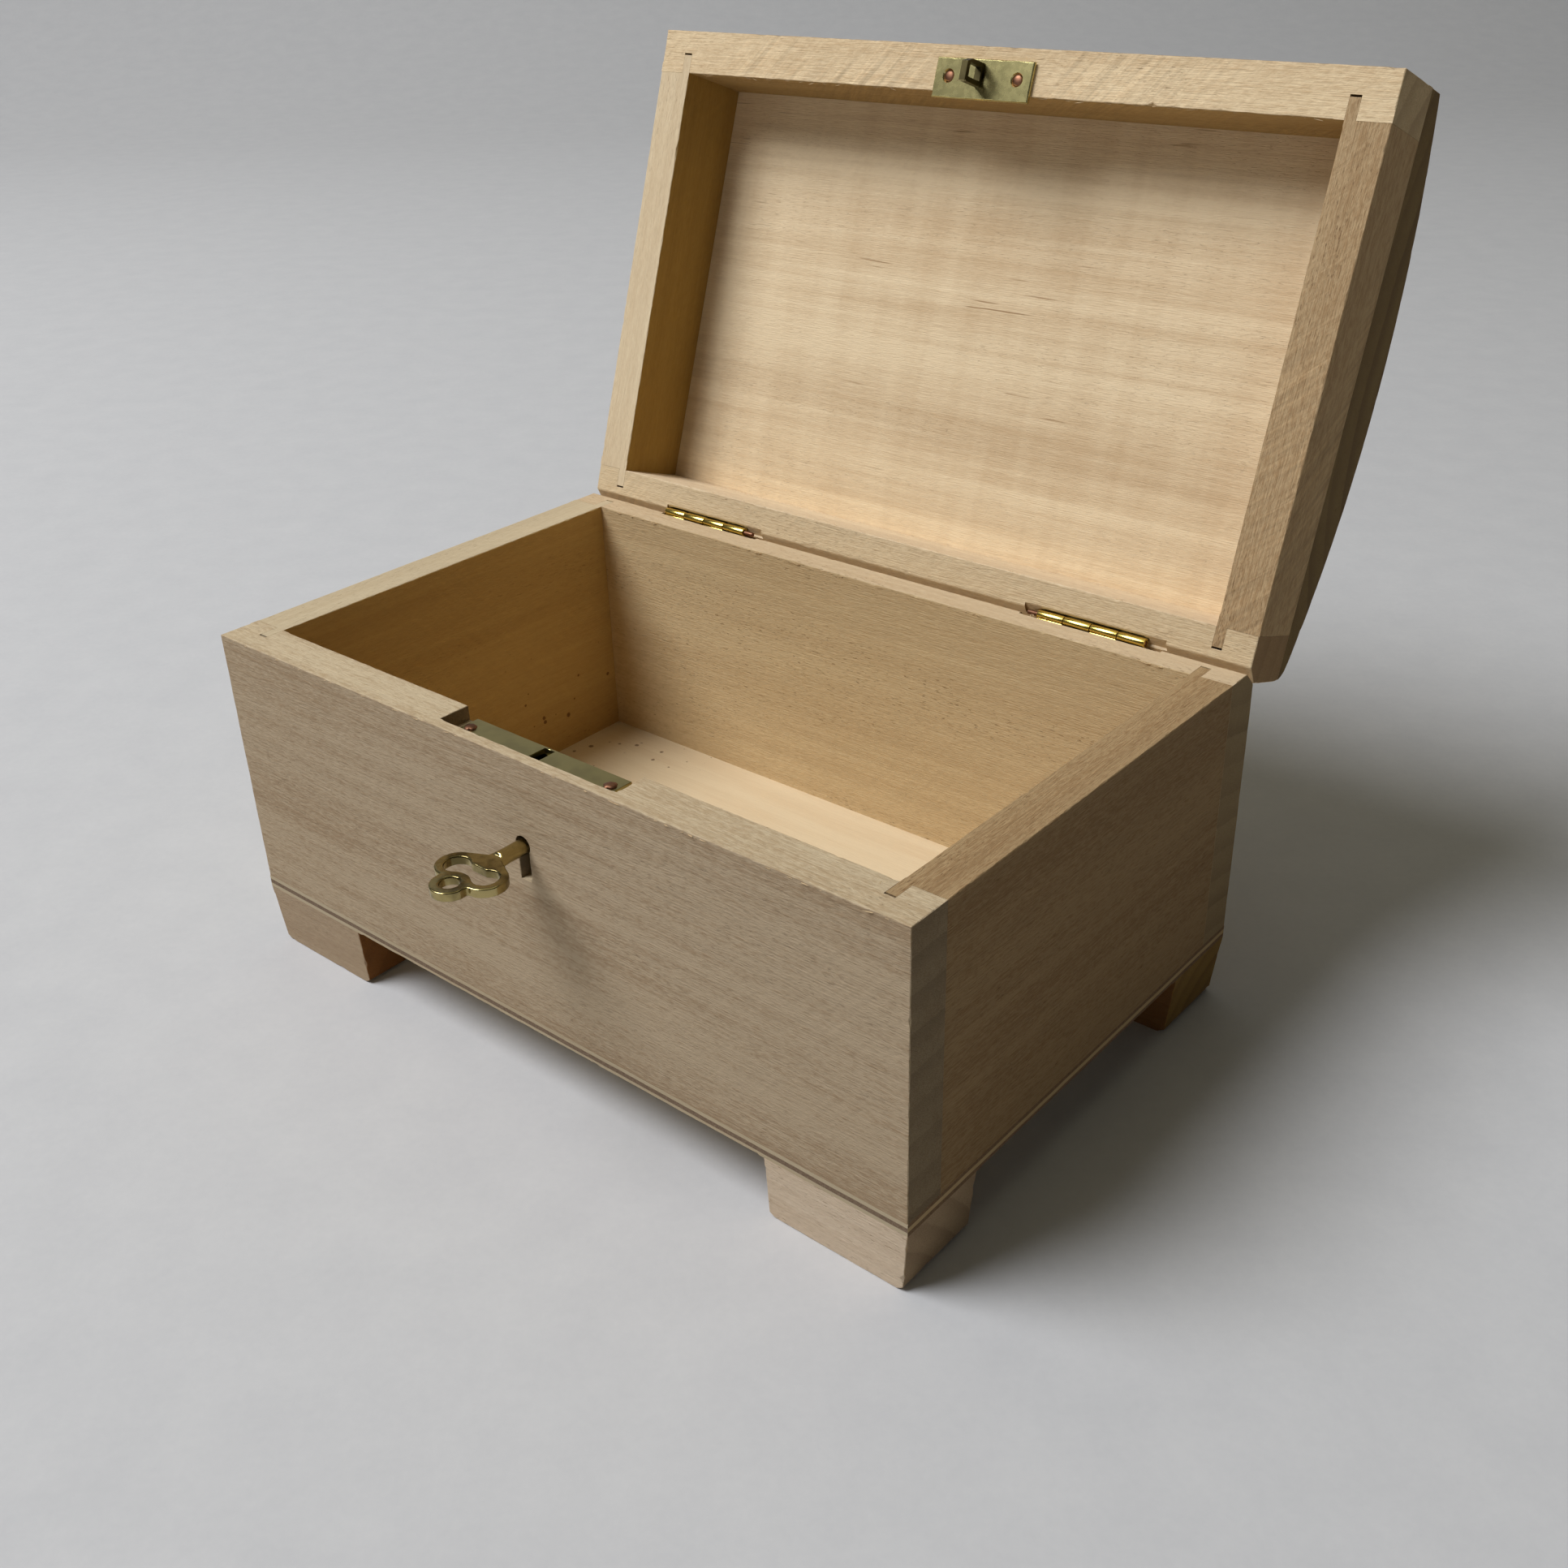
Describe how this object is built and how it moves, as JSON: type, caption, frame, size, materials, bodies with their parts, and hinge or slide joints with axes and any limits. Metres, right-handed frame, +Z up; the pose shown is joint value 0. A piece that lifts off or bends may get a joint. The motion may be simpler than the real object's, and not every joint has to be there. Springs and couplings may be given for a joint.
{
  "type": "wooden money box",
  "caption": "Pale wood money box on block feet, arched lid open on barrel hinges, casket lock with key in the front board, strike plate and hook under the lid.",
  "frame": {"origin": "on the table surface, under the middle of the bounding box of the open box with its key", "axes": "+X to the right along the front board, +Y from the front with the keyhole to the back with the hinges, +Z up"},
  "size_m": [0.21, 0.2173, 0.2119],
  "materials": {
    "limewood": "raw sanded pale hardwood, unfinished",
    "plywood": "raw three-layer plywood",
    "brass": "brass-plated sheet, slightly dulled",
    "key_brass": "cast brass, browned and worn",
    "copper": "coppered steel wire and nails",
    "steel": "dark spring steel"
  },
  "bodies": {
    "case": {"front_board": "limewood", "back_board": "limewood", "left_side_board": "limewood", "right_side_board": "limewood", "bottom_plate": "plywood", "foot_front_left": "limewood", "foot_front_right": "limewood", "foot_back_left": "limewood", "foot_back_right": "limewood", "lock_case": "brass", "lock_cover": "brass", "lock_cover_rivet_left": "brass", "lock_cover_rivet_right": "brass", "lock_key_post": "steel", "lock_bolt_spring": "steel", "lock_nail_left": "copper", "lock_nail_right": "copper", "hinge_left_case_leaf": "brass", "hinge_left_pin": "copper", "hinge_right_case_leaf": "brass", "hinge_right_pin": "copper"},
    "lid": {"lid_front_board": "limewood", "lid_back_board": "limewood", "lid_left_board": "limewood", "lid_right_board": "limewood", "lid_top_panel": "limewood", "strike_plate": "brass", "strike_hook": "brass", "strike_nail_left": "copper", "strike_nail_right": "copper", "hinge_left_lid_leaf": "brass", "hinge_right_lid_leaf": "brass"},
    "key": {"key": "key_brass"},
    "bolt": {"lock_bolt": "brass"}
  },
  "joints": [
    {"name": "lid_hinge", "type": "hinge", "parent": "case", "child": "lid", "pos_m": [0, 0.0454, 0.0896], "axis": [1, 0, 0], "range_deg": [0, 108.8]},
    {"name": "key_turn", "type": "hinge", "parent": "case", "child": "key", "pos_m": [0.0016, -0.08385, 0.0679], "axis": [0, 1, 0], "range_deg": [0, 180]},
    {"name": "bolt_slide", "type": "slide", "parent": "case", "child": "bolt", "axis": [1, 0, 0], "range_m": [0, 0.0045]}
  ],
  "couplings": [
    {"joint": "bolt_slide", "follows": "key_turn", "m_per_rad": 0.0014324}
  ]
}
